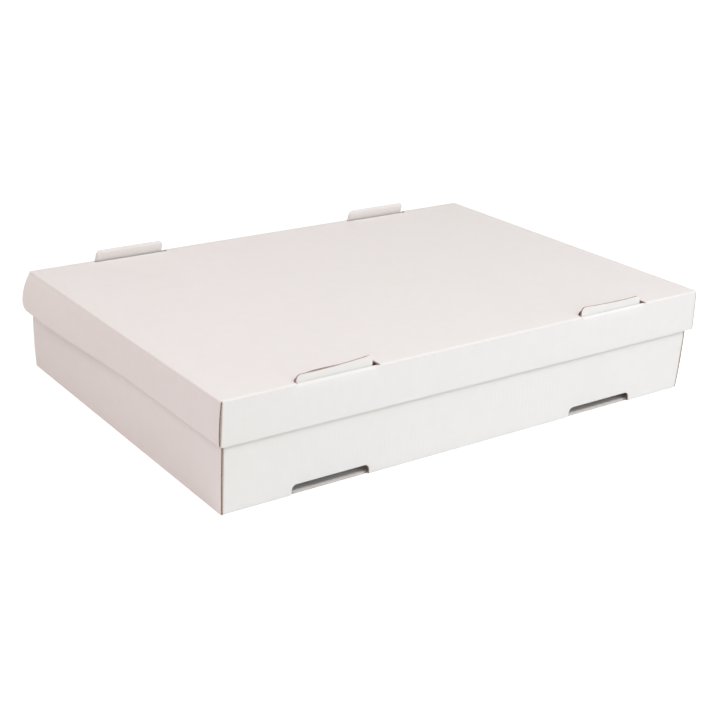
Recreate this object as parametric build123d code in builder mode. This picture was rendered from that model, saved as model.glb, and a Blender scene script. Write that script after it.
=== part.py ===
import os

from build123d import *

os.makedirs("parts", exist_ok=True)

# Stacking pastry box in corrugated card: a folded tray and a lift-off lid, each one die-cut sheet.
# Millimetres. X runs along the length, the front faces -Y, Z is up.
# The origin is the middle of the tray's underside.

# Board
board = 1.6
flap_board = 0.4
fold_radius = 1.2
corner_gap = 0.1

# Tray
tray_length = 402.0
tray_width = 296.0
tray_height = 76.4
left_wall_lean = 2.1
left_wall_bow_front = 0.4
left_wall_bow_back = 1.6
right_wall_bulge = 3.4
right_wall_top_lean = 3.2
tray_flap_length = 45.0
flap_taper = 4.0

# Stacking tabs on the tray's walls, measured above the lid's top face
tab_pitch = 239.0
tab_corner = 4.0
rear_tab_width = 58.0
rear_tab_stand = 9.2
front_tab_width = 58.0
front_tab_pitch = 240.8
front_tab_offset = 2.5
front_left_tab_tops = (4.8, 7.2)
front_right_tab_tops = (6.6, 5.8)

# Notches in the tray's lower folds, which take the tabs of the box below
notch_width = 60.6
front_notch_height = 7.4
back_notch_height = 10.0
notch_corner = 4.0
notch_setback = 2.1

# Lid
lid_gap = 0.2
lid_gap_front = 0.3
lid_play = 8.0
lid_drop = 31.0
lid_left_wall_short = 1.4
lid_flap_length = 38.0
slot_clearance = 0.5
front_hole_end_room = 5.2
front_hole_depth = 13.3
front_hole_left_straight = 0.3
front_hole_right_corner = 3.0
rear_slot_end_room = 3.5
rear_slot_depth = 2.7

# The lid's left wall bows out, more than the tray's wall under it leans, and is loose at its back end
flare_front = 0.65
flare_back = 6.1
flare_at_middle = 0.87
back_flap_stand = 2.0
flare_start_y = -30.0
flare_full_y = 110.0
flare_sections = 9
loose_corner = 7.0

# Places worked out from the sizes above
tray_wall_end = tray_length / 2 - board - corner_gap
tray_front = tray_width / 2
tab_places = (-tab_pitch / 2, tab_pitch / 2)
front_tab_places = (front_tab_offset - front_tab_pitch / 2, front_tab_offset + front_tab_pitch / 2)
lid_top = tray_height + board
lid_lower = lid_top - lid_drop
lid_left_lower = lid_lower + lid_left_wall_short
lid_left = -(tray_length / 2 - left_wall_lean + lid_gap + flap_board + corner_gap + board)
lid_right = tray_length / 2 + lid_play + flap_board + corner_gap + board
lid_middle = (lid_left + lid_right) / 2
lid_length = lid_right - lid_left
lid_front = tray_front + lid_gap_front + board
lid_inner_front = lid_front - board
lid_wall_left = lid_left + board + corner_gap
lid_wall_right = lid_right - board - corner_gap
lid_lean = left_wall_lean * (tray_height - lid_lower) / (tray_height - board)


# A front or back wall, lying in the given plane, whose left end leans between its lower and upper edges
def wall_outline(plane, left_low, left_high, right, low, high):
    with BuildSketch(plane) as outline:
        with BuildLine():
            Polyline((left_low, low), (right, low), (right, high), (left_high, high), close=True)
        make_face()
    return outline.sketch


# Outline of the tabs on a tray wall, one for each (place, width, left top, right top)
def tab_outline(plane, tabs):
    with BuildSketch(plane) as outline:
        for place, width, left_top, right_top in tabs:
            with BuildLine():
                Polyline(
                    (place - width / 2, tray_height - board),
                    (place - width / 2, lid_top + left_top),
                    (place + width / 2, lid_top + right_top),
                    (place + width / 2, tray_height - board),
                    close=True,
                )
            make_face()
        tab_tops = outline.vertices().filter_by(lambda corner: corner.Y > tray_height)
        fillet(tab_tops, tab_corner)
    return outline.sketch


# Outline of the two notches in a tray wall, round at their upper corners
def notch_outline(plane, height):
    with BuildSketch(plane) as outline:
        for place in tab_places:
            with Locations((place, height / 2)):
                Rectangle(notch_width, height)
        upper = outline.vertices().filter_by(lambda corner: corner.Y > height / 2)
        fillet(upper, notch_corner)
    return outline.sketch


# Outline of a corner flap on a wall end that may lean, cut narrower towards its free end
def flap_outline(end_low, end_high, low, high, root, inward, length):
    lean = Vector(end_high - end_low, 0, high - low)
    free_end = root + inward * length
    plane = Plane(origin=(end_low, 0, low), x_dir=(0, 1, 0), z_dir=(lean.Z, 0, -lean.X))
    with BuildSketch(plane) as outline:
        with BuildLine():
            Polyline(
                (root, 0),
                (free_end, flap_taper),
                (free_end, lean.length - flap_taper),
                (root, lean.length),
                close=True,
            )
        make_face()
    return outline.sketch


# Section through the tray's left wall at one end, which leans inwards and bows out between its edges
def leaning_wall_outline(plane, bow):
    foot = -tray_length / 2
    head = foot + left_wall_lean
    belly = (foot + head) / 2 - bow
    middle = (board + tray_height) / 2
    with BuildSketch(plane) as outline:
        with BuildLine():
            ThreePointArc((foot, board), (belly, middle), (head, tray_height))
            Line((head, tray_height), (head + board, tray_height))
            ThreePointArc((head + board, tray_height), (belly + board, middle), (foot + board, board))
            Line((foot + board, board), (foot, board))
        make_face()
    return outline.sketch


# Section through the tray's right wall, which has bulged outwards
def bulged_wall_outline(plane):
    foot = tray_length / 2
    head = foot + right_wall_top_lean
    belly = foot + right_wall_bulge
    middle = (board + tray_height) / 2
    with BuildSketch(plane) as outline:
        with BuildLine():
            ThreePointArc((foot, board), (belly, middle), (head, tray_height))
            Line((head, tray_height), (head - board, tray_height))
            ThreePointArc((head - board, tray_height), (belly - board, middle), (foot - board, board))
            Line((foot - board, board), (foot, board))
        make_face()
    return outline.sketch


# How far the lid's left wall leans out at its lower edge, easing from its front to its back
def left_wall_flare(place):
    along = (place - flare_start_y) / (flare_full_y - flare_start_y)
    along = min(max(along, 0), 1)
    return lid_lean + flare_front + (flare_back - flare_front) * along**2 * (3 - 2 * along)


# Section through the lid's left wall at one place along it
def left_wall_section(place):
    flare = left_wall_flare(place)
    low = lid_left_lower
    middle = (low + tray_height) / 2
    bowed = flare_at_middle * flare
    inside = lid_left + board
    with BuildSketch(Plane.XZ.offset(-place)) as outline:
        with BuildLine():
            ThreePointArc((lid_left, tray_height), (lid_left - bowed, middle), (lid_left - flare, low))
            Line((lid_left - flare, low), (inside - flare, low))
            ThreePointArc((inside - flare, low), (inside - bowed, middle), (inside, tray_height))
            Line((inside, tray_height), (lid_left, tray_height))
        make_face()
    return outline.sketch


# Tray
front_plane = Plane.XZ.offset(tray_front)
back_plane = Plane.XZ.offset(-tray_front)
front_tabs = [
    (front_tab_places[0], front_tab_width, *front_left_tab_tops),
    (front_tab_places[1], front_tab_width, *front_right_tab_tops),
]
rear_tabs = [(place, rear_tab_width, rear_tab_stand, rear_tab_stand) for place in tab_places]

with BuildPart() as tray:
    # Front and back walls with their tabs, and the corner flaps folded inside the side walls
    left_end = (-tray_wall_end, -tray_wall_end + left_wall_lean)
    right_end = (tray_wall_end, tray_wall_end)
    for plane, side, tabs in ((front_plane, -1, front_tabs), (back_plane, 1, rear_tabs)):
        extrude(wall_outline(plane, *left_end, tray_wall_end, board, tray_height), amount=side * board)
        extrude(tab_outline(plane, tabs), amount=side * board)
        for end, inward in ((left_end, 1), (right_end, -1)):
            flap = flap_outline(*end, board, tray_height, side * tray_front, -side, tray_flap_length)
            extrude(flap, amount=flap_board, dir=(inward, 0, 0))
    wall_ends = tray.edges().filter_by(
        lambda edge: abs(edge.center().X) > tray_wall_end - left_wall_lean
        and abs(edge.center().Y) > tray_front - board / 4
        and edge.length > tray_height - 2 * board
    )
    fillet(wall_ends, fold_radius)
    # Floor with its folds rounded
    with BuildSketch():
        Rectangle(tray_length, tray_width)
    extrude(amount=board)
    lower_folds = tray.edges().filter_by(lambda edge: abs(edge.center().Z) < fold_radius / 10)
    fillet(lower_folds, fold_radius)
    # Left and right walls
    left_front = leaning_wall_outline(front_plane, left_wall_bow_front)
    left_back = leaning_wall_outline(back_plane, left_wall_bow_back)
    loft([left_front, left_back], ruled=True)
    extrude(bulged_wall_outline(front_plane), amount=-tray_width)
    # Notches through the walls and the lower folds
    extrude(notch_outline(front_plane, front_notch_height), amount=-notch_setback, mode=Mode.SUBTRACT)
    extrude(notch_outline(back_plane, back_notch_height), amount=notch_setback, mode=Mode.SUBTRACT)
tray.part.label = "tray"
export_step(tray.part, "parts/tray.step")

# Lid
section_step = 2 * lid_front / (flare_sections - 1)
section_places = [-lid_front + section_step * index for index in range(flare_sections)]

with BuildPart() as lid:
    # Left wall, loose at its back end, where the lower corner is rounded
    loft([left_wall_section(place) for place in section_places])
    with BuildSketch(Plane.YZ.offset(lid_left + board)):
        with BuildLine():
            Line((lid_front, lid_left_lower + loose_corner), (lid_front, lid_left_lower))
            Line((lid_front, lid_left_lower), (lid_front - loose_corner, lid_left_lower))
            RadiusArc(
                (lid_front - loose_corner, lid_left_lower),
                (lid_front, lid_left_lower + loose_corner),
                -loose_corner,
            )
        make_face()
    extrude(amount=-(board + 2 * flare_back), mode=Mode.SUBTRACT)
    # Right wall
    with BuildSketch(Plane.YZ.offset(lid_right - board)):
        with Locations((0, (lid_lower + tray_height) / 2)):
            Rectangle(2 * lid_front, tray_height - lid_lower)
    extrude(amount=board)
    # Front and back walls with the corner flaps folded inside the side walls
    right_end = (lid_wall_right, lid_wall_right)
    for side, stand in ((-1, flare_front), (1, back_flap_stand)):
        left_end = (lid_wall_left - lid_lean - stand, lid_wall_left)
        plane = Plane.XZ.offset(-side * lid_front)
        extrude(wall_outline(plane, *left_end, lid_wall_right, lid_lower, tray_height), amount=side * board)
        for end, inward in ((left_end, 1), (right_end, -1)):
            flap = flap_outline(*end, lid_lower, tray_height, side * lid_front, -side, lid_flap_length)
            extrude(flap, amount=flap_board, dir=(inward, 0, 0))
        first_end = sum(left_end) / 2 - corner_gap / 2
        last_end = lid_wall_right + corner_gap / 2
        wall_ends = lid.edges().filter_by(
            lambda edge: first_end < edge.center().X < last_end
            and abs(edge.center().Y - side * lid_front) < board / 4
            and abs(edge.tangent_at(0.5).Z) > 0.9
        )
        fillet(wall_ends, fold_radius)
    # Top panel with its folds rounded
    with BuildSketch(Plane.XY.offset(tray_height)):
        with Locations((lid_middle, 0)):
            Rectangle(lid_length, 2 * lid_front)
    extrude(amount=board)
    top_folds = lid.edges().filter_by(lambda edge: abs(edge.center().Z - lid_top) < fold_radius / 10)
    fillet(top_folds, fold_radius)
    # Holes behind the front fold and slots before the back fold, for the tray's tabs
    for place, width, _, _ in front_tabs:
        hole_left = place - width / 2 - slot_clearance
        hole_right = place + width / 2 + front_hole_end_room
        with BuildSketch(Plane.XY.offset(lid_top)) as front_hole:
            with Locations(((hole_left + hole_right) / 2, -lid_inner_front + front_hole_depth / 2)):
                Rectangle(hole_right - hole_left, front_hole_depth)
            back_left = front_hole.vertices().group_by(Axis.Y)[-1].sort_by(Axis.X)[0]
            fillet(back_left, front_hole_depth - front_hole_left_straight)
            fillet(front_hole.vertices().group_by(Axis.Y)[-1].sort_by(Axis.X)[-1], front_hole_right_corner)
        extrude(amount=-board, mode=Mode.SUBTRACT)
    with BuildSketch(Plane.XY.offset(lid_top)):
        for place, width, _, _ in rear_tabs:
            slot_left = place - width / 2 - slot_clearance
            slot_right = place + width / 2 + rear_slot_end_room
            with Locations(((slot_left + slot_right) / 2, lid_inner_front - rear_slot_depth / 2)):
                Rectangle(slot_right - slot_left, rear_slot_depth)
    extrude(amount=-board, mode=Mode.SUBTRACT)
lid.part.label = "lid"
export_step(lid.part, "parts/lid.step")
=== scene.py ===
# %% [markdown]
# # A stacking pastry box
# The real box is two flat sheets of white corrugated board, cut by a die and folded by hand: a tray
# and a lift-off lid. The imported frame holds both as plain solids. They could be shown with a white
# finish, but the eye knows corrugated board by its cut edges and soft folds. So each sheet is built
# again here as what it is, two thin liners with a wavy paper between them, and then folded in the
# same place.

# %% Load the frame
import math

import bmesh
import bpy
import numpy as np
from mathutils import Matrix, Vector, kdtree


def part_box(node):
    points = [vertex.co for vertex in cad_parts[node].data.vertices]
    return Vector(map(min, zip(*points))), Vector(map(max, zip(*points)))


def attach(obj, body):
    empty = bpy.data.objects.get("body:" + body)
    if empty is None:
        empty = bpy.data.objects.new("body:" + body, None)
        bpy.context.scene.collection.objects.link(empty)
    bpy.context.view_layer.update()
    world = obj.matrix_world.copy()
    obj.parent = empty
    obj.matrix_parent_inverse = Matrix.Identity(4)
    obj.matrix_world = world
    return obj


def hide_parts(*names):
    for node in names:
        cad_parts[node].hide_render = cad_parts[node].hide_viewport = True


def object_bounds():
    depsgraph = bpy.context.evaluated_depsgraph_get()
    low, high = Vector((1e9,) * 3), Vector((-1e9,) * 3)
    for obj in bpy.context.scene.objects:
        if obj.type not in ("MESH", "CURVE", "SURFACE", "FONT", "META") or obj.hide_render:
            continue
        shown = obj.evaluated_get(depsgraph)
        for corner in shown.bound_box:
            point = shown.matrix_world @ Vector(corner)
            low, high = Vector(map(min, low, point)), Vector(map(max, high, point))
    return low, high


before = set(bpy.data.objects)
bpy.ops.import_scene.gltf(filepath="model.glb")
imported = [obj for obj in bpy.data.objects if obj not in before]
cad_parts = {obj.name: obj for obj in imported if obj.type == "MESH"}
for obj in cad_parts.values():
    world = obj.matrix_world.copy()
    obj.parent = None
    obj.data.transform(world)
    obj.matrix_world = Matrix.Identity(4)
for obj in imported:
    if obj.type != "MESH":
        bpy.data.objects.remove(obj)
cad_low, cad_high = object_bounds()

# %% [markdown]
# ## The board
# Everything in the box is the same fine-fluted board, so its few sizes come first: the whole
# thickness, a liner, the wavy paper and the length of one wave. Six steps are enough to draw a wave
# smoothly. The corner flaps lie pressed flat inside the side walls, so they are thinner and have a
# tighter fold.

# %% Sizes of the board
mm = 0.001
board = 1.6 * mm
liner = 0.26 * mm
medium = 0.2 * mm
flute_pitch = 3.64 * mm
steps_per_flute = 6
fold_radius = 1.2 * mm
fold_arc = fold_radius * math.pi / 2
flap_radius = 0.7 * mm
flap_arc = flap_radius * math.pi / 2
flap_board = 0.4 * mm
corner_gap = 0.1 * mm
corner_setback = board + corner_gap
print("board", round(board / mm, 2), "mm, flutes", round(flute_pitch / mm, 2), "mm apart")

# %% [markdown]
# ## Places read from the frame
# The main sizes could be typed in again, but when they are read from the frame they follow the
# solids. The tray's box takes in the outward bow of its left wall, so the tray comes out 0.7 mm
# longer at each end here than the floor of the solid. The lid's left wall is loose and reaches past
# its own fold, so the place of that fold is worked out from the tray. On the right a small swell
# makes up for an edge that is rolled in later.

# %% Places of the tray and the lid
tray_low, tray_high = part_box("tray")
lid_low, lid_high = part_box("lid")
left_wall_lean = 2.1 * mm
lid_gap = 0.2 * mm
paper_swell = 1.1 * mm
tray_half_length = -tray_low.x
tray_half_width = tray_high.y
lid_top = lid_high.z
tray_top = lid_top - board
lid_left = left_wall_lean - tray_half_length - lid_gap - flap_board - corner_setback
lid_right = lid_high.x + paper_swell
lid_middle = (lid_left + lid_right) / 2
lid_half_length = (lid_right - lid_left) / 2
lid_half_width = lid_high.y
lid_drop = lid_top - lid_low.z
print("tray", round(2 * tray_half_length / mm, 1), "x", round(2 * tray_half_width / mm, 1), "mm")
print("lid", round(2 * lid_half_length / mm, 1), "x", round(2 * lid_half_width / mm, 1), "mm")

# %% [markdown]
# ## The camera
# A camera matched to the photograph comes before any looks, because every comparison depends on it.
# Its place, aim and roll were worked out from the box's corners. Blender could track a target, but
# that leaves out the roll, so the three axes are set directly. The focal length in pixels becomes a
# lens length by the sensor's width.

# %% Camera
photo_side = 720
focal_pixels = 1374.6
sensor_width = 36.0
camera_place = Vector((-0.5689, -0.8187, 0.4029))
camera_azimuth = math.radians(35.02)
camera_elevation = math.radians(21.309)
camera_roll = math.radians(1.4205)


def aim(place, azimuth, elevation, roll):
    level = math.cos(elevation)
    forward = Vector((math.sin(azimuth) * level, math.cos(azimuth) * level, -math.sin(elevation)))
    right = forward.cross(Vector((0, 0, 1))).normalized()
    up = right.cross(forward)
    rolled_right = math.cos(roll) * right + math.sin(roll) * up
    rolled_up = math.cos(roll) * up - math.sin(roll) * right
    axes = Matrix((rolled_right, rolled_up, -forward)).transposed()
    return Matrix.Translation(place) @ axes.to_4x4()


camera = bpy.data.objects.new("camera", bpy.data.cameras.new("camera"))
camera.data.sensor_width = sensor_width
camera.data.lens = sensor_width * focal_pixels / photo_side
camera.matrix_world = aim(camera_place, camera_azimuth, camera_elevation, camera_roll)
bpy.context.scene.collection.objects.link(camera)
bpy.context.scene.camera = camera
print("camera lens", round(camera.data.lens, 2), "mm")

# %% [markdown]
# ## One fold
# A flat sheet has two running lengths, u across the flutes and v along them. A fold turns a run along
# the sheet into a place on the panel, a piece of arc, and a climb up the wall. Blender's own bend
# tools work on one mesh at a time. One small function does it for any depth inside the board, so the
# liners and the flutes bend together and never cross.


# %% Fold helpers
def fold(run, depth, half, radius):
    flat = half - radius
    reach = np.abs(run)
    turn = np.clip((reach - flat) / radius, 0, math.pi / 2)
    climb = np.maximum(reach - flat - radius * math.pi / 2, 0)
    along = np.minimum(reach, flat) + (radius - depth) * np.sin(turn)
    rise = radius - (radius - depth) * np.cos(turn) + climb
    return np.sign(run) * np.minimum(along, half - depth), np.maximum(rise, depth)


def run_at_rise(rise, half):
    return half - fold_radius + fold_arc + rise - fold_radius


def ease(value):
    part = np.clip(value, 0, 1)
    return part * part * (3 - 2 * part)


print("a fold uses", round(fold_arc / mm, 2), "mm of board")

# %% [markdown]
# ## Columns and rows
# The die cuts tabs, notches, holes and slots. A Boolean would do it, but it would tear the fine
# flutes into slivers. Instead the sheet is laid out in columns, one for each step of a flute, with
# extra columns where an outline turns. A column gets extra rows near a cut edge, because the die
# pinches the board there.

# %% Column helpers
edge_rows = (0.5 * mm, 1.2 * mm, 2.4 * mm)
row_spacing = 0.3 * mm
short_column = 4 * edge_rows[-1]


def sheet_columns(reach, breaks):
    step = flute_pitch / steps_per_flute
    count = math.floor(reach / step)
    marks = sorted({round(mark, 8) for mark in breaks})
    regular = [index * step for index in range(-count, count + 1)]
    spare = step / 5
    kept = [place for place in regular if min(abs(place - mark) for mark in marks) > spare]
    return sorted(kept + marks)


def column_rows(low, high, others, fixed):
    start, stop = max(low, others[0]), min(high, others[1])
    near = edge_rows if high - low > short_column else ()
    margin = (near[-1] if near else 0) + row_spacing
    middle = [row for row in fixed if start + margin < row < stop - margin]
    return [low] + [low + row for row in near] + middle + [high - row for row in reversed(near)] + [high]


print("edge rows", [round(row / mm, 1) for row in edge_rows], "mm from a cut")

# %% [markdown]
# ## From columns to faces
# Every column is asked for its spans: stretches of board, each with the region it belongs to. A strip
# runs over the panel and up the long walls, a side wall hangs on a short fold, and a cut wall starts
# at the edge of a hole. Neighbouring columns are joined by faces that share their corners, so the
# mesh has no cracks.

# %% Face helpers
strip, side_wall, cut_wall = 0, 1, 2
tiny = 1e-7


def cut_cells(columns, spans, fixed, shared):
    cells = []
    for left, right in zip(columns[:-1], columns[1:]):
        for one, other in zip(spans(left + tiny), spans(right - tiny)):
            region = one[0]
            rows_left = column_rows(one[1], one[2], other[1:], fixed)
            rows_right = column_rows(other[1], other[2], one[1:], fixed)
            for row in range(len(rows_left) - 1):
                cells.append((region, left, right, rows_left[row : row + 2], rows_right[row : row + 2]))
    keys = {}
    stacks = {}

    def corner(region, u, v):
        key = (shared(region, u, v), round(u / tiny), round(v / tiny))
        if key not in keys:
            keys[key] = (region, u, v)
            stacks.setdefault(key[:2], []).append(key[2])
        return key

    outlines = []
    for region, left, right, rows_left, rows_right in cells:
        left_side = [corner(region, left, row) for row in rows_left]
        right_side = [corner(region, right, row) for row in rows_right]
        outlines.append(left_side + right_side)
    return weave_outlines(keys, stacks, outlines)


print("corners closer than", tiny / mm, "mm are one corner")

# %% [markdown]
# ## Weaving the faces
# Two columns that meet can have rows at different heights, as where a tab ends beside a plain wall.
# Cutting both into the same rows would be simple, but it would put rows where none are needed.
# Instead each face takes in the corners that lie on its own edges, and a corner that repeats is left
# out.


# %% Weaving helper
def weave_outlines(keys, stacks, outlines):
    numbers = {key: number for number, key in enumerate(keys)}
    for stack in stacks.values():
        stack.sort()

    def edge(low, high):
        if low[0] != high[0]:
            return [low, high]
        between = [row for row in stacks[low[:2]] if low[2] < row < high[2]]
        return [low] + [(low[0], low[1], row) for row in between] + [high]

    faces = []
    for left_low, left_high, right_low, right_high in outlines:
        ring = edge(right_low, right_high) + edge(left_low, left_high)[::-1]
        face = [numbers[key] for position, key in enumerate(ring) if key != ring[position - 1]]
        if len(face) > 2:
            faces.append(face)
    points = np.array([[u, v] for region, u, v in keys.values()])
    regions = np.array([region for region, u, v in keys.values()])
    return points, regions, faces


print("regions", {"strip": strip, "side wall": side_wall, "cut wall": cut_wall})

# %% [markdown]
# ## Building a layer
# Each layer of the board is a closed skin: one face towards the outside of the box, one towards the
# inside, and a narrow wall along every cut. A wall belongs wherever an edge of the flat layout has
# board on one side only. A Solidify modifier could add the thickness, but the flutes and the pinched
# edges need two faces of different shapes. The three groups of faces take the three papers that they
# are given, in that order.

# %% Layer helper
sharp_angle = math.radians(40)


def build_layer(name, outer, inner, faces, papers):
    count = len(outer)
    used = {(start, end): True for face in faces for start, end in zip(face, face[1:] + face[:1])}
    walls = [
        [start, end, end + count, start + count][::-1] for start, end in used if (end, start) not in used
    ]
    groups = (faces, [[corner + count for corner in face[::-1]] for face in faces], walls)
    mesh = bpy.data.meshes.new(name)
    corners = np.concatenate([outer, inner]).tolist()
    mesh.from_pydata(corners, [], [face for group in groups for face in group])
    for paper in papers:
        mesh.materials.append(paper)
    marks = [mark for mark, group in enumerate(groups) for face in group]
    mesh.polygons.foreach_set("material_index", marks)
    tool = bmesh.new()
    tool.from_mesh(mesh)
    bmesh.ops.dissolve_degenerate(tool, dist=tiny, edges=tool.edges)
    bmesh.ops.recalc_face_normals(tool, faces=tool.faces)
    tool.to_mesh(mesh)
    tool.free()
    mesh.polygons.foreach_set("use_smooth", [True] * len(mesh.polygons))
    mesh.set_sharp_from_angle(angle=sharp_angle)
    piece = bpy.data.objects.new(name, mesh)
    bpy.context.scene.collection.objects.link(piece)
    triangles = sum(len(polygon.vertices) - 2 for polygon in mesh.polygons)
    print(name, "has", triangles, "triangles")
    return piece


print("edges sharper than", round(math.degrees(sharp_angle)), "degrees stay crisp")

# %% [markdown]
# ## Nodes for paper
# Paper is a rough shader with two touches: a colour that drifts between a thin and a thick shade, and
# a fine tooth that only the light shows. Both come from noise in the object's own space, so the grain
# has its real size on every panel. An image of paper would do as well, but it would need its own file
# and a layout of seams.

# %% Node helpers
shade_ends = (0.3, 0.7)
tooth_strength = 0.5
tooth_height = 0.03 * mm


def new_finish(name, roughness, gloss):
    material = bpy.data.materials.new(name)
    material.use_nodes = True
    shader = material.node_tree.nodes["Principled BSDF"]
    shader.inputs["Roughness"].default_value = roughness
    shader.inputs["Specular IOR Level"].default_value = gloss
    return material, material.node_tree, shader


def add_noise(tree, scale, detail):
    place = tree.nodes.new("ShaderNodeTexCoord")
    noise = tree.nodes.new("ShaderNodeTexNoise")
    noise.inputs["Scale"].default_value = scale
    noise.inputs["Detail"].default_value = detail
    tree.links.new(place.outputs["Object"], noise.inputs["Vector"])
    return noise.outputs["Fac"]


def add_shades(tree, shader, factor, shades):
    ramp = tree.nodes.new("ShaderNodeValToRGB")
    for element, position, colour in zip(ramp.color_ramp.elements, shade_ends, shades):
        element.position = position
        element.color = (*colour, 1)
    tree.links.new(factor, ramp.inputs["Fac"])
    tree.links.new(ramp.outputs["Color"], shader.inputs["Base Color"])


def add_tooth(tree, shader, height):
    bump = tree.nodes.new("ShaderNodeBump")
    bump.inputs["Strength"].default_value = tooth_strength
    bump.inputs["Distance"].default_value = tooth_height
    tree.links.new(height, bump.inputs["Height"])
    tree.links.new(bump.outputs["Normal"], shader.inputs["Normal"])


print("paper tooth", round(tooth_height / mm, 3), "mm")

# %% [markdown]
# ## Three papers
# The outer liner is white and uncoated, a little warm, with faint clouds where the pulp lies thicker.
# The inner liner is the same white paper with painted shade: a shade greyer and warmer, standing in for
# the shade on the rear tabs and in the notches. The wavy paper and every cut edge are plain brown paper
# with coarser fibres. One white for all would be simpler, but the tabs would stand out too bright.

# %% Paper finishes
white_roughness = 0.72
white_gloss = 0.25
cloud_scale = 120
cloud_detail = 6
tooth_scale = 1400
brown_roughness = 0.85
brown_gloss = 0.2
fibre_scale = 900
fibre_detail = 4
white_shades = ((0.866, 0.847, 0.832), (0.878, 0.859, 0.844))
# Painted shade: the white paper made greyer and warmer for the inside face, so the rear tabs and notches
# look shaded.
inside_painted_shade_tones = ((0.803, 0.757, 0.736), (0.818, 0.773, 0.752))
brown_shades = ((0.52, 0.39, 0.31), (0.72, 0.58, 0.49))


def white_paper(name, shades):
    material, tree, shader = new_finish(name, white_roughness, white_gloss)
    add_shades(tree, shader, add_noise(tree, cloud_scale, cloud_detail), shades)
    add_tooth(tree, shader, add_noise(tree, tooth_scale, fibre_detail))
    return material


def brown_paper(name, shades):
    material, tree, shader = new_finish(name, brown_roughness, brown_gloss)
    fibres = add_noise(tree, fibre_scale, fibre_detail)
    add_shades(tree, shader, fibres, shades)
    add_tooth(tree, shader, fibres)
    return material


white = white_paper("white_paper", white_shades)
inside_paper_with_painted_shade = white_paper("inside_liner_painted_shade", inside_painted_shade_tones)
brown = brown_paper("brown_paper", brown_shades)
print("finishes", white.name, inside_paper_with_painted_shade.name, brown.name)

# %% [markdown]
# ## Folding a whole sheet
# A strip folds twice. First it turns up at the front and the back, and then the ends of those walls
# turn in as corner flaps. A side wall folds once, at the left or right. The three results are worked
# out for all points at once and chosen by region, which is quicker than folding panel by panel. Last,
# each sheet settles in its own way.


# %% Sheet folding
def corner_press(u, wall_half):
    pressed = ease((np.abs(u) - wall_half + flap_radius) / flap_radius)
    return 1 - pressed * (1 - flap_board / board)


def fold_sheet(sheet, points, regions, depth):
    u, v = points[:, 0], points[:, 1]
    wall_half = sheet["half_length"] - corner_setback
    y, rise = fold(v, depth, sheet["half_width"], fold_radius)
    straight = sheet["half_width"] - fold_radius + fold_arc
    rise = np.where(regions == cut_wall, fold_radius + np.abs(v) - straight, rise)
    x, inward = fold(u, depth * corner_press(u, wall_half), wall_half, flap_radius)
    on_wall = ease((np.abs(v) - straight + fold_radius / 2) / fold_radius)
    on_wall = np.where(regions == cut_wall, 1, on_wall)
    x = u + on_wall * (x - u)
    y = y + on_wall * (np.sign(v) * (sheet["half_width"] - inward) - y)
    side_x, side_rise = fold(u, depth, sheet["half_length"], fold_radius)
    on_side = regions == side_wall
    x = np.where(on_side, side_x, x)
    y = np.where(on_side, v, y)
    rise = np.where(on_side, side_rise, rise)
    return sheet["settle"](x, y, rise, on_side)


print("a pressed flap keeps", round(100 * flap_board / board), "percent of the thickness")

# %% [markdown]
# ## Pinched and rolled edges
# A die doesn't cut board like a saw. It pinches the edge a little, and where an edge is bent over,
# the liners nearly close and little brown shows. Both are one squeeze towards a chosen depth that
# fades away from the cut. A tree of points along all the cuts finds how far off the nearest one is.
# The third coordinate of that tree keeps the regions apart, so that a cut in one doesn't squeeze its
# neighbour.

# %% Edge squeeze
cut_pinch = 0.2
pinch_reach = 1.1 * mm
samples_per_reach = 2
roll_reach = 4 * mm


def edge_squeeze(points, regions, faces):
    sides = {(start, end) for face in faces for start, end in zip(face, face[1:] + face[:1])}
    apart = 1.0
    samples = []
    for start, end in sides:
        if (end, start) not in sides:
            length = np.linalg.norm(points[end] - points[start])
            count = 1 + int(length / pinch_reach * samples_per_reach)
            for step in range(count):
                u, v = points[start] + (points[end] - points[start]) * step / count
                samples.append((u, v, apart * max(regions[start], regions[end])))
    tree = kdtree.KDTree(len(samples))
    for number, sample in enumerate(samples):
        tree.insert(sample, number)
    tree.balance()
    reach = [tree.find((u, v, apart * region))[2] for (u, v), region in zip(points, regions)]
    return np.exp(-((np.array(reach) / pinch_reach) ** 2))


def right_front_edge(u, v, regions, half_width):
    return (regions == side_wall) & (u > 0) & (v < roll_reach - half_width)


print("a cut pinches the board by", round(100 * cut_pinch), "percent")

# %% [markdown]
# ## The three layers
# Through its thickness the board is a liner, the wavy paper and another liner. The liners follow the
# flutes very slightly, which is the washboard look of real board. A bump in the finish could show
# that too, but a bump is lost in the exported shape. So each layer is given as two depths, with the
# papers of its faces and its cut edges.

# %% Layers of a sheet
washboard = 0.014 * mm


def sheet_layers(wave):
    still = np.zeros(len(wave))
    crest = board / 2 - wave * (board - 2 * liner - medium) / 2
    outside = washboard * (1 - wave)
    inside = board - washboard * (1 + wave)
    return {
        "outer_liner": (outside, still + liner, (white, brown, brown)),
        "fluting": (crest - medium / 2, crest + medium / 2, (brown, brown, brown)),
        # The inside face of the inner liner takes the white paper with painted shade.
        "inner_liner": (still + board - liner, inside, (brown, inside_paper_with_painted_shade, brown)),
    }


print("layers", list(sheet_layers(np.ones(1))))
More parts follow.
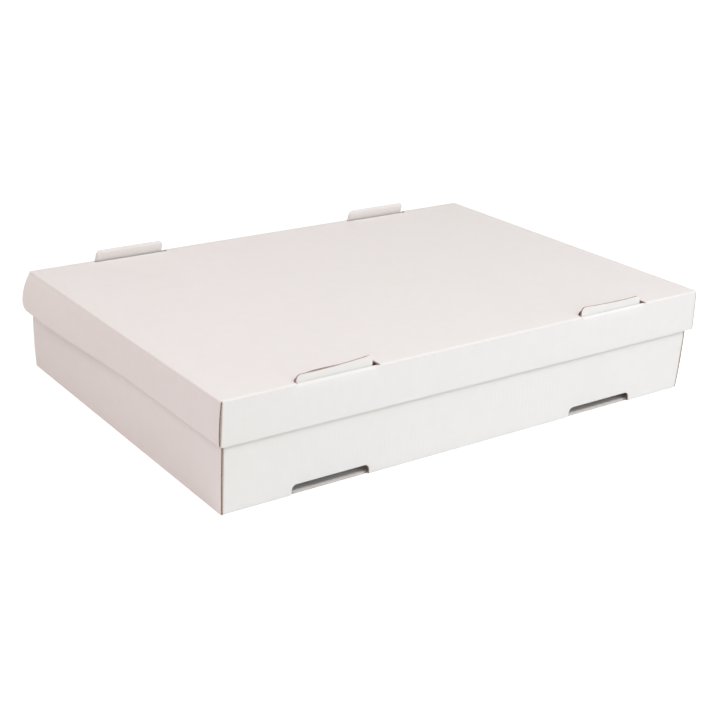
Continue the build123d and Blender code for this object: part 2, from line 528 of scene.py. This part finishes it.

# %% [markdown]
# ## A whole sheet
# This joins the helpers: the layout is cut once, squeezed along its cuts, and folded for every layer.
# All three layers ride on the sheet's body, so that they lift with it, and the plain solid is hidden.
# They could be one mesh, but as three pieces they stay light enough to export.


# %% Sheet builder
def build_sheet(sheet):
    wall_half = sheet["half_length"] - corner_setback
    flat_width = sheet["half_width"] - fold_radius

    def shared(region, u, v):
        if region == side_wall and abs(u) <= wall_half + tiny and abs(v) <= flat_width + tiny:
            return strip
        if region == cut_wall and abs(v) >= flat_width + fold_arc - tiny:
            return strip
        return region

    columns = sheet_columns(max(sheet["breaks"]), sheet["breaks"])
    points, regions, faces = cut_cells(columns, sheet["spans"], sheet["rows"], shared)
    sheet_length, sheet_width = np.ptp(points, axis=0) / mm
    print(sheet["body"], "lies flat in", round(sheet_length, 1), "x", round(sheet_width, 1), "mm")
    strength, middle = sheet["pinch"](points[:, 0], points[:, 1], regions)
    squeeze = 1 - strength * edge_squeeze(points, regions, faces)

    def place(depth):
        return fold_sheet(sheet, points, regions, middle + (depth - middle) * squeeze)

    wave = np.cos(points[:, 0] * 2 * math.pi / flute_pitch)
    pieces = []
    for name, (outer, inner, papers) in sheet_layers(wave).items():
        piece = build_layer(sheet["body"] + "_" + name, place(outer), place(inner), faces, papers)
        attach(piece, sheet["body"])
        pieces.append(piece)
    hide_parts(sheet["body"])
    return pieces


# %% [markdown]
# ## Tabs and notches of the tray
# Two tabs on the front wall and two on the back wall come up through the lid, and the notches in the
# lower folds take the tabs of the box below. The front tabs in the photograph are a little uneven and
# sag between their ends. One height for all of them would look too clean, so each has its own height
# left and right.

# %% Tab and notch sizes
tab_pitch = 239 * mm
tab_corner = 4 * mm
rear_tab_width = 58 * mm
front_tab_width = 58 * mm
front_tab_pitch = 240.8 * mm
front_tab_offset = 2.5 * mm
front_tab_tops = ((4.8 * mm, 7.2 * mm), (6.6 * mm, 5.8 * mm))
front_tab_sag = 0.9 * mm
notch_width = 60.6 * mm
notch_corner = 4 * mm
notch_setback = 2.1 * mm
front_notch_height = 7.4 * mm
back_notch_height = 10 * mm
floor_edge = tray_half_width - notch_setback
rear_stand = tray_high.z - lid_top
tab_places = (-tab_pitch / 2, tab_pitch / 2)
front_places = (front_tab_offset - front_tab_pitch / 2, front_tab_offset + front_tab_pitch / 2)
front_tabs = [(place, front_tab_width, *tops) for place, tops in zip(front_places, front_tab_tops)]
rear_tabs = [(place, rear_tab_width, rear_stand, rear_stand) for place in tab_places]
print("tray tabs", len(front_tabs) + len(rear_tabs), "notches", 2 * len(tab_places))

# %% [markdown]
# ## How high a wall goes
# Tabs and notches have rounded corners. They could be drawn as arcs and cut out, but here a column
# only has to know how high its board goes. So a rounded corner is written as a drop below the full
# height. A sag is a shallow parabola between the two ends of a tab.


# %% Wall heights
def rounded_drop(distance, radius):
    short = max(radius - distance, 0)
    return radius - math.sqrt(max(radius * radius - short * short, 0))


def wall_top(u, tabs, sag):
    for place, width, left_top, right_top in tabs:
        inside = width / 2 - abs(u - place)
        if inside > 0:
            share = (u - place) / width + 0.5
            stand = left_top + share * (right_top - left_top) - 4 * sag * share * (1 - share)
            return lid_top + stand - rounded_drop(inside, tab_corner)
    return tray_top


def notch_top(u, height):
    inside = notch_width / 2 - abs(abs(u) - tab_pitch / 2)
    return height - rounded_drop(inside, notch_corner) if inside > 0 else 0


for place in front_places:
    print("front tab middle", round(wall_top(place, front_tabs, front_tab_sag) / mm, 1), "mm up")

# %% [markdown]
# ## Outline of the tray
# Now the tray can answer for any column. Between the short folds a column is one long strip from the
# top of the front wall to the top of the back wall, and a notch cuts it into three. Past the folds it
# has the two tapered corner flaps and, between them, the side wall. The outline could be drawn as one
# flat curve and filled, but asking column by column keeps the flutes whole.

# %% Tray outline
tray_flap_length = 45 * mm
flap_taper = 4 * mm


def tray_spans(u):
    if abs(u) >= tray_half_length - corner_setback:
        return side_spans(u, tray_half_length, tray_half_width, tray_top, tray_flap_length)
    front = -run_at_rise(wall_top(u, front_tabs, front_tab_sag), tray_half_width)
    back = run_at_rise(wall_top(u, rear_tabs, 0), tray_half_width)
    front_notch = notch_top(u, front_notch_height)
    if not front_notch:
        return [(strip, front, back)]
    back_notch = notch_top(u, back_notch_height)
    return [
        (strip, front, -run_at_rise(front_notch, tray_half_width)),
        (strip, -floor_edge, floor_edge),
        (strip, run_at_rise(back_notch, tray_half_width), back),
    ]


def side_spans(u, half_length, half_width, height, flap_length):
    spans = []
    past = abs(u) - half_length + corner_setback
    taper = flap_taper * past / flap_length
    low = run_at_rise(board + fold_radius + taper, half_width)
    high = run_at_rise(height - taper, half_width)
    if past < flap_length:
        spans.append((strip, -high, -low))
        spans.append((strip, low, high))
    if abs(u) < run_at_rise(height, half_length):
        spans.append((side_wall, -half_width, half_width))
    return spans


print("spans through a notch", len(tray_spans(tab_places[0])), "and beside it", len(tray_spans(0)))

# %% [markdown]
# ## How the tray has settled
# The box in the photograph isn't quite square. The left wall leans in and bows out a little, and the
# right wall bulges. The ends of the long walls go along with both, so that no gap opens at the
# corners. The rear tabs nod forwards above the lid. A lattice could bend the finished mesh, but a few
# sums at the fold are easier to follow.

# %% Tray settling
lean_reach = 50 * mm
right_wall_lean = 3.2 * mm
right_wall_bow = 1.8 * mm
left_wall_bow = (0.4 * mm, 1.6 * mm)
tab_nod = 2.6 * mm


def end_share(reach, half_length):
    return ease((reach - half_length + lean_reach) / (lean_reach - corner_setback))


def settle_tray(x, y, rise, on_side):
    share = np.clip((rise - board) / (tray_top - board), 0, 1)
    arch = 4 * share * (1 - share)
    bulge = right_wall_lean * share + right_wall_bow * arch
    bow = np.interp(y, (-tray_half_width, tray_half_width), left_wall_bow) * arch
    lean = left_wall_lean * share * np.where(on_side, x < 0, end_share(-x, tray_half_length))
    swell = bulge * np.where(on_side, x > 0, end_share(x, tray_half_length))
    x = x + lean + swell - np.where(on_side & (x < 0), bow, 0)
    above = np.clip((rise - lid_top) / rear_stand, 0, 1)
    y = y - np.where(on_side | (y < 0), 0, tab_nod * above * (2 - above))
    return np.stack([x, y, rise], axis=1)


print("right wall bulges", round((right_wall_lean / 2 + right_wall_bow) / mm, 1), "mm half way up")

# %% [markdown]
# ## Rolled edges of the tray
# Some edges of the tray are bent over and nearly closed. The rear tabs roll towards their back, the
# floor rolls down in the notches, and the front end of the right wall is half rolled inwards.
# Elsewhere the cut is only pinched. The edges could be bent one by one, but a strength and a depth
# for every point let one squeeze do them all.

# %% Tray edges
roll_pinch = 0.9
half_roll_pinch = 0.5
floor_roll_pinch = 0.78


def tray_pinch(u, v, regions):
    rolled = right_front_edge(u, v, regions, tray_half_width)
    rear_tab = (regions == strip) & (v > run_at_rise(lid_top, tray_half_width))
    inside = notch_width / 2 - np.abs(np.abs(u) - tab_pitch / 2)
    floor_cut = (regions == strip) & (np.abs(v) < floor_edge + tiny)
    floor_roll = np.where(floor_cut, ease(inside / roll_reach), 0)
    strength = np.where(rear_tab, roll_pinch, np.where(rolled, half_roll_pinch, cut_pinch))
    strength = np.maximum(strength, floor_roll_pinch * floor_roll)
    return strength, np.where(rolled, board, np.where(rear_tab, 0, board / 2 * (1 - floor_roll)))


print("a rolled edge keeps", round((1 - roll_pinch) * board / mm, 2), "mm of thickness")

# %% [markdown]
# ## Where the layout needs lines
# A fold needs a few lines across it to look round, and so does every rounded corner and every edge
# that is squeezed. Dividing the whole sheet finely would do, but most of those faces would show
# nothing. These helpers collect the lines for any sheet, so that the tray and the lid are laid out in
# the same way.

# %% Layout helpers
column_fold_steps = 4
row_fold_steps = 6


def arc_places(start, arc, steps):
    return [start + arc * step / steps for step in range(steps + 1)]


def outline_breaks(half_length, wall_height, flap_length, marks):
    wall_end = half_length - corner_setback
    free_edge = run_at_rise(wall_height, half_length)
    ends = arc_places(half_length - fold_radius, fold_arc, column_fold_steps)
    ends += arc_places(wall_end - flap_radius, flap_arc, column_fold_steps)
    ends += [wall_end, wall_end + flap_length, free_edge]
    ends += [free_edge - row for row in edge_rows]
    return [sign * end for end in ends for sign in (-1, 1)] + marks


def feature_marks(place, width, corner):
    edges = (-width / 2, -width / 2 + corner, width / 2 - corner, width / 2)
    return [place + edge for edge in edges]


def fold_rows(half_width, wall_rows, panel_rows, cut_rows):
    flat = half_width - fold_radius
    panel = [flat * (2 * step + 1) / (2 * panel_rows + 1) for step in range(panel_rows)]
    walls = [run_at_rise(row, half_width) for row in wall_rows]
    one_side = panel + arc_places(flat, fold_arc, row_fold_steps) + walls
    return sorted([-row for row in one_side] + one_side + cut_rows)


print("lines in a fold", row_fold_steps + 1)

# %% [markdown]
# ## The tray
# With its outline, its settling and its edges known, the tray is one call. The rows near the notches,
# the wall tops and the rear tabs are there for the squeezed edges and for the curve of the tabs.

# %% Tray sheet
tray_wall_rows = (14 * mm, 40 * mm, 66 * mm)
tray_panel_rows = 3
tab_row_shares = (0.1, 0.3, 0.5, 0.67)
tray_marks = []
for place, width, left_top, right_top in front_tabs + rear_tabs:
    tray_marks += feature_marks(place, width, tab_corner)
for place in tab_places:
    tray_marks += feature_marks(place, notch_width, notch_corner)
tray_cut_rows = [run_at_rise(lid_top + rear_stand * share, tray_half_width) for share in tab_row_shares]
for row in edge_rows:
    tray_cut_rows.append(-run_at_rise(front_notch_height + row, tray_half_width))
    tray_cut_rows.append(run_at_rise(back_notch_height + row, tray_half_width))
    for side in (-1, 1):
        tray_cut_rows.append(side * (floor_edge - row))
        tray_cut_rows.append(side * run_at_rise(tray_top - row, tray_half_width))
tray_sheet = {
    "body": "tray",
    "half_length": tray_half_length,
    "half_width": tray_half_width,
    "breaks": outline_breaks(tray_half_length, tray_top, tray_flap_length, tray_marks),
    "spans": tray_spans,
    "rows": fold_rows(tray_half_width, tray_wall_rows, tray_panel_rows, tray_cut_rows),
    "settle": settle_tray,
    "pinch": tray_pinch,
}
tray_pieces = build_sheet(tray_sheet)
print("tray layers", len(tray_pieces))

# %% [markdown]
# ## Holes and slots of the lid
# The lid is a second sheet turned upside down. Its top has two deep holes behind the front fold and
# two narrow slots by the back fold, where the tray's tabs come through. They take their places from
# the tabs and leave a little room. The back left corner of a hole is a long curve, so its rounding is
# stretched along the hole.

# %% Hole and slot sizes
slot_clearance = 0.5 * mm
front_hole_end_room = 5.2 * mm
front_hole_depth = 13.3 * mm
front_hole_left_straight = 0.3 * mm
front_hole_corners = (front_hole_depth - front_hole_left_straight, 3 * mm)
left_corner_stretch = 2.0
rear_slot_end_room = 3.5 * mm
rear_slot_depth = 3.7 * mm
rear_slot_corners = (0, 0)
hole_edge = lid_half_width - board


def hole_ends(tabs, end_room):
    return [
        (place - width / 2 - slot_clearance - lid_middle, place + width / 2 + end_room - lid_middle)
        for place, width, left_top, right_top in tabs
    ]


def panel_end(u, holes, depth, corners):
    for left, right in holes:
        if left < u < right:
            left_drop = rounded_drop((u - left) / left_corner_stretch, corners[0])
            return hole_edge - depth + left_drop + rounded_drop(right - u, corners[1])
    return None


front_holes = hole_ends(front_tabs, front_hole_end_room)
rear_slots = hole_ends(rear_tabs, rear_slot_end_room)
print("lid holes", len(front_holes), "slots", len(rear_slots))

# %% [markdown]
# ## Outline of the lid
# A column through a hole or slot ends at the cut in the top panel, and the wall below the cut starts
# again on the other side. The loose left wall is a little shorter than the others and has a rounded
# free corner at the back.

# %% Lid outline
lid_flap_length = 38 * mm
cut_rise = 0.3 * mm
left_wall_short = 1.4 * mm
left_wall_drop = lid_drop - left_wall_short
loose_corner = 7 * mm


def lid_spans(u):
    if abs(u) >= lid_half_length - corner_setback:
        return lid_side_spans(u)
    wall_end = run_at_rise(lid_drop, lid_half_width)
    cut_end = run_at_rise(cut_rise, lid_half_width)
    front = panel_end(u, front_holes, front_hole_depth, front_hole_corners)
    back = panel_end(u, rear_slots, rear_slot_depth, rear_slot_corners)
    spans = []
    if front:
        spans.append((cut_wall, -wall_end, -cut_end))
    spans.append((strip, -front if front else -wall_end, back if back else wall_end))
    if back:
        spans.append((cut_wall, cut_end, wall_end))
    return spans


def lid_side_spans(u):
    spans = side_spans(u, lid_half_length, lid_half_width, lid_drop, lid_flap_length)
    if u < 0 and spans and spans[-1][0] == side_wall:
        spans.pop()
        inside = u + run_at_rise(left_wall_drop, lid_half_length)
        if inside > 0:
            back_end = lid_half_width - rounded_drop(inside, loose_corner)
            spans.append((side_wall, -lid_half_width, back_end))
    return spans


print("left wall hangs", round(left_wall_drop / mm, 1), "mm, the others", round(lid_drop / mm, 1), "mm")

# %% [markdown]
# ## How the lid has settled
# The left wall is loose at the back, so it stands off there and bows as it hangs. A straight wall on
# a hinge would be simpler, but the photograph shows it curving. The bow is a parabola: nothing at the
# fold, most of the flare half way down, all of it at the free edge. The flaps behind it stand off
# less, each by its own amount.

# %% Lid settling
lid_lean = left_wall_lean * (lid_drop - board) / (tray_top - board)
flare_front = 0.65 * mm
flare_back = 6.1 * mm
flare_at_middle = 0.87
flare_start_y = -30 * mm
flare_full_y = 110 * mm
back_flap_stand = 2.0 * mm


def settle_lid(x, y, rise, on_side):
    side_share = np.clip((rise - board) / (left_wall_drop - board), 0, 1)
    share = np.clip((rise - board) / (lid_drop - board), 0, 1)
    loose = ease((y - flare_start_y) / (flare_full_y - flare_start_y))
    flare = lid_lean + flare_front + (flare_back - flare_front) * loose
    bow = flare * side_share * (4 * flare_at_middle - 1 + (2 - 4 * flare_at_middle) * side_share)
    stand = (lid_lean + np.where(y < 0, flare_front, back_flap_stand)) * share
    x = x - np.where(on_side, np.where(x < 0, bow, 0), stand * end_share(-x, lid_half_length))
    return np.stack([x + lid_middle, y, lid_top - rise], axis=1)


print("loose wall stands off", round((lid_lean + flare_back) / mm, 1), "mm at the back")

# %% [markdown]
# ## Rolled edges of the lid
# Below each hole and slot the front or back wall begins with a crease that has been bent over, so its
# edge is rolled inwards. The roll fades out towards the ends of the hole, where the fold goes on.


# %% Lid edges
def lid_pinch(u, v, regions):
    rolled = right_front_edge(u, v, regions, lid_half_width)
    inside = np.max([np.minimum(u - left, right - u) for left, right in front_holes + rear_slots], axis=0)
    crease = (regions == cut_wall) & (np.abs(v) < lid_half_width + roll_reach)
    roll = np.where(crease, ease(inside / roll_reach), rolled)
    return cut_pinch + (roll_pinch - cut_pinch) * roll, board / 2 * (1 + roll)


print("a crease fades over", round(roll_reach / mm, 1), "mm")

# %% [markdown]
# ## The lid
# The lid is laid out and built in the same way as the tray. Its extra lines follow the loose corner,
# the ends of the holes and the edges that are squeezed.

# %% Lid sheet
lid_wall_rows = (8 * mm, 16 * mm, 24 * mm)
lid_panel_rows = 4
left_wall_end = run_at_rise(left_wall_drop, lid_half_length)
lid_marks = [row - left_wall_end for row in (0, *edge_rows, loose_corner)]
for left, right in front_holes + rear_slots:
    left_corner_end = left + left_corner_stretch * front_hole_corners[0]
    lid_marks += [left, left_corner_end, right - front_hole_corners[1], right]
lid_cut_rows = []
for row in edge_rows:
    lid_cut_rows.append(row - hole_edge + front_hole_depth)
    lid_cut_rows.append(hole_edge - rear_slot_depth - row)
    for side in (-1, 1):
        lid_cut_rows.append(side * run_at_rise(cut_rise + row, lid_half_width))
lid_sheet = {
    "body": "lid",
    "half_length": lid_half_length,
    "half_width": lid_half_width,
    "breaks": outline_breaks(lid_half_length, lid_drop, lid_flap_length, lid_marks),
    "spans": lid_spans,
    "rows": fold_rows(lid_half_width, lid_wall_rows, lid_panel_rows, lid_cut_rows),
    "settle": settle_lid,
    "pinch": lid_pinch,
}
lid_pieces = build_sheet(lid_sheet)
print("lid layers", len(lid_pieces))

# %% [markdown]
# ## Seen white, lit plain
# The ground in the photograph is pure white, but a floor and a sky that bright would light the box
# far too much. So what the camera sees, and what gloss or glass would show, is made white, while the
# light that falls on the box comes from a plainer floor and sky. One helper makes that choice for
# both.

# %% Helper for what is seen
camera_ray = "Is Camera Ray"
other_rays = ("Is Glossy Ray", "Is Transmission Ray")


def show_instead(tree, output, plain, shown):
    path = tree.nodes.new("ShaderNodeLightPath")
    seen = path.outputs[camera_ray]
    for kind in other_rays:
        either = tree.nodes.new("ShaderNodeMath")
        either.operation = "MAXIMUM"
        tree.links.new(seen, either.inputs[0])
        tree.links.new(path.outputs[kind], either.inputs[1])
        seen = either.outputs["Value"]
    choice = tree.nodes.new("ShaderNodeMixShader")
    tree.links.new(seen, choice.inputs["Fac"])
    tree.links.new(plain, choice.inputs[1])
    tree.links.new(shown, choice.inputs[2])
    tree.links.new(choice.outputs["Shader"], output.inputs["Surface"])


print("white is shown where", [camera_ray, *other_rays])

# %% [markdown]
# ## Finish of the floor
# The floor is pale paint with a glow added for what is seen. Near the box the glow is weak, so that
# the soft shadow stays, and it grows with the distance until the floor runs into the white sky. More
# light on a plain floor would whiten it too, but it would also burn out the box.

# %% Floor finish
floor_paint = (0.8, 0.8, 0.8, 1)
glow_near = 0.62
glow_far = 1.0
glow_start = 0.5
glow_end = 2.0


def floor_finish():
    material = bpy.data.materials.new("white_floor")
    material.use_nodes = True
    tree = material.node_tree
    tree.nodes.clear()
    paint = tree.nodes.new("ShaderNodeBsdfDiffuse")
    paint.inputs["Color"].default_value = floor_paint
    place = tree.nodes.new("ShaderNodeTexCoord")
    distance = tree.nodes.new("ShaderNodeVectorMath")
    distance.operation = "LENGTH"
    growth = tree.nodes.new("ShaderNodeMapRange")
    growth.inputs["From Min"].default_value = glow_start
    growth.inputs["From Max"].default_value = glow_end
    growth.inputs["To Min"].default_value = glow_near
    growth.inputs["To Max"].default_value = glow_far
    glow = tree.nodes.new("ShaderNodeEmission")
    both = tree.nodes.new("ShaderNodeAddShader")
    tree.links.new(place.outputs["Object"], distance.inputs[0])
    tree.links.new(distance.outputs["Value"], growth.inputs["Value"])
    tree.links.new(growth.outputs["Result"], glow.inputs["Strength"])
    tree.links.new(paint.outputs["BSDF"], both.inputs[0])
    tree.links.new(glow.outputs["Emission"], both.inputs[1])
    output = tree.nodes.new("ShaderNodeOutputMaterial")
    show_instead(tree, output, paint.outputs["BSDF"], both.outputs["Shader"])
    return material


print("floor glow from", glow_near, "to", glow_far)

# %% [markdown]
# ## The floor
# The floor itself is one large square that reaches far past the picture. A curved backdrop is the
# usual studio way, but a flat floor and a white sky are simpler and also run into each other. It lies
# a hair below the tray, so that the two never share a face.

# %% Floor
floor_reach = 6.0
floor_gap = 0.05 * mm
floor_mesh = bpy.data.meshes.new("floor")
floor_corners = [(floor_reach * x, floor_reach * y, 0) for x, y in ((-1, -1), (1, -1), (1, 1), (-1, 1))]
floor_mesh.from_pydata(floor_corners, [], [(0, 1, 2, 3)])
floor_mesh.materials.append(floor_finish())
floor = bpy.data.objects.new("floor", floor_mesh)
floor.location.z = cad_low.z - floor_gap
bpy.context.scene.collection.objects.link(floor)
print("floor at", round(floor.location.z / mm, 2), "mm")

# %% [markdown]
# ## The sky
# The sky gives the weak, warm light that reaches every side, as the pale walls of a studio do, and it
# keeps the shadows from going black. More lamps could do that, but each would add a shadow of its
# own.

# %% World
sky_strength = 0.29
sky_colour = (1.0, 0.88, 0.82, 1)
shown_strength = 1.0
shown_colour = (1, 1, 1, 1)


def add_background(tree, colour, strength):
    background = tree.nodes.new("ShaderNodeBackground")
    background.inputs["Color"].default_value = colour
    background.inputs["Strength"].default_value = strength
    return background.outputs["Background"]


world = bpy.data.worlds.new("soft_white")
world.use_nodes = True
world.node_tree.nodes.clear()
show_instead(
    world.node_tree,
    world.node_tree.nodes.new("ShaderNodeOutputWorld"),
    add_background(world.node_tree, sky_colour, sky_strength),
    add_background(world.node_tree, shown_colour, shown_strength),
)
bpy.context.scene.world = world
print("sky strength", sky_strength)

# %% [markdown]
# ## The lamps
# Soft square lamps give each side its own tone. The front is lit most, by a low cool lamp and a high
# one, so the lid throws only a thin shadow on the tray. Two warmer lamps on the left keep that side a
# shade darker, and another lights the back. One large lamp would be simpler, but it couldn't give
# each side its own share of the light.

# %% Lamps
front_light = (0.87, 0.985, 1.0)
high_light = (0.946, 0.979, 1.0)
left_light = (1.0, 0.858, 0.859)
back_light = (1.0, 0.97, 0.95)


def add_lamp(name, place, size, power, colour):
    lamp = bpy.data.lights.new(name, "AREA")
    lamp.shape = "SQUARE"
    lamp.size = size
    lamp.energy = power
    lamp.color = colour
    holder = bpy.data.objects.new(name, lamp)
    holder.location = place
    holder.rotation_euler = (-Vector(place)).to_track_quat("-Z", "Y").to_euler()
    bpy.context.scene.collection.objects.link(holder)


add_lamp("front_softbox", place=(0.9, -2.2, 0.7), size=1.6, power=15.6, colour=front_light)
add_lamp("high_softbox", place=(0.5, -1.05, 1.55), size=0.9, power=15.6, colour=high_light)
add_lamp("near_softbox", place=(-0.45, -0.6, 1.3), size=1.0, power=2.2, colour=high_light)
add_lamp("left_softbox", place=(-2.0, 0.3, 0.8), size=1.4, power=9.0, colour=left_light)
add_lamp("left_high_softbox", place=(-1.0, 0.2, 1.6), size=0.9, power=5.4, colour=left_light)
add_lamp("back_softbox", place=(1.5, 2.4, 0.5), size=1.4, power=7.0, colour=back_light)
bpy.context.scene.view_settings.view_transform = "Standard"
print("lamps", [item.name for item in bpy.data.lights])
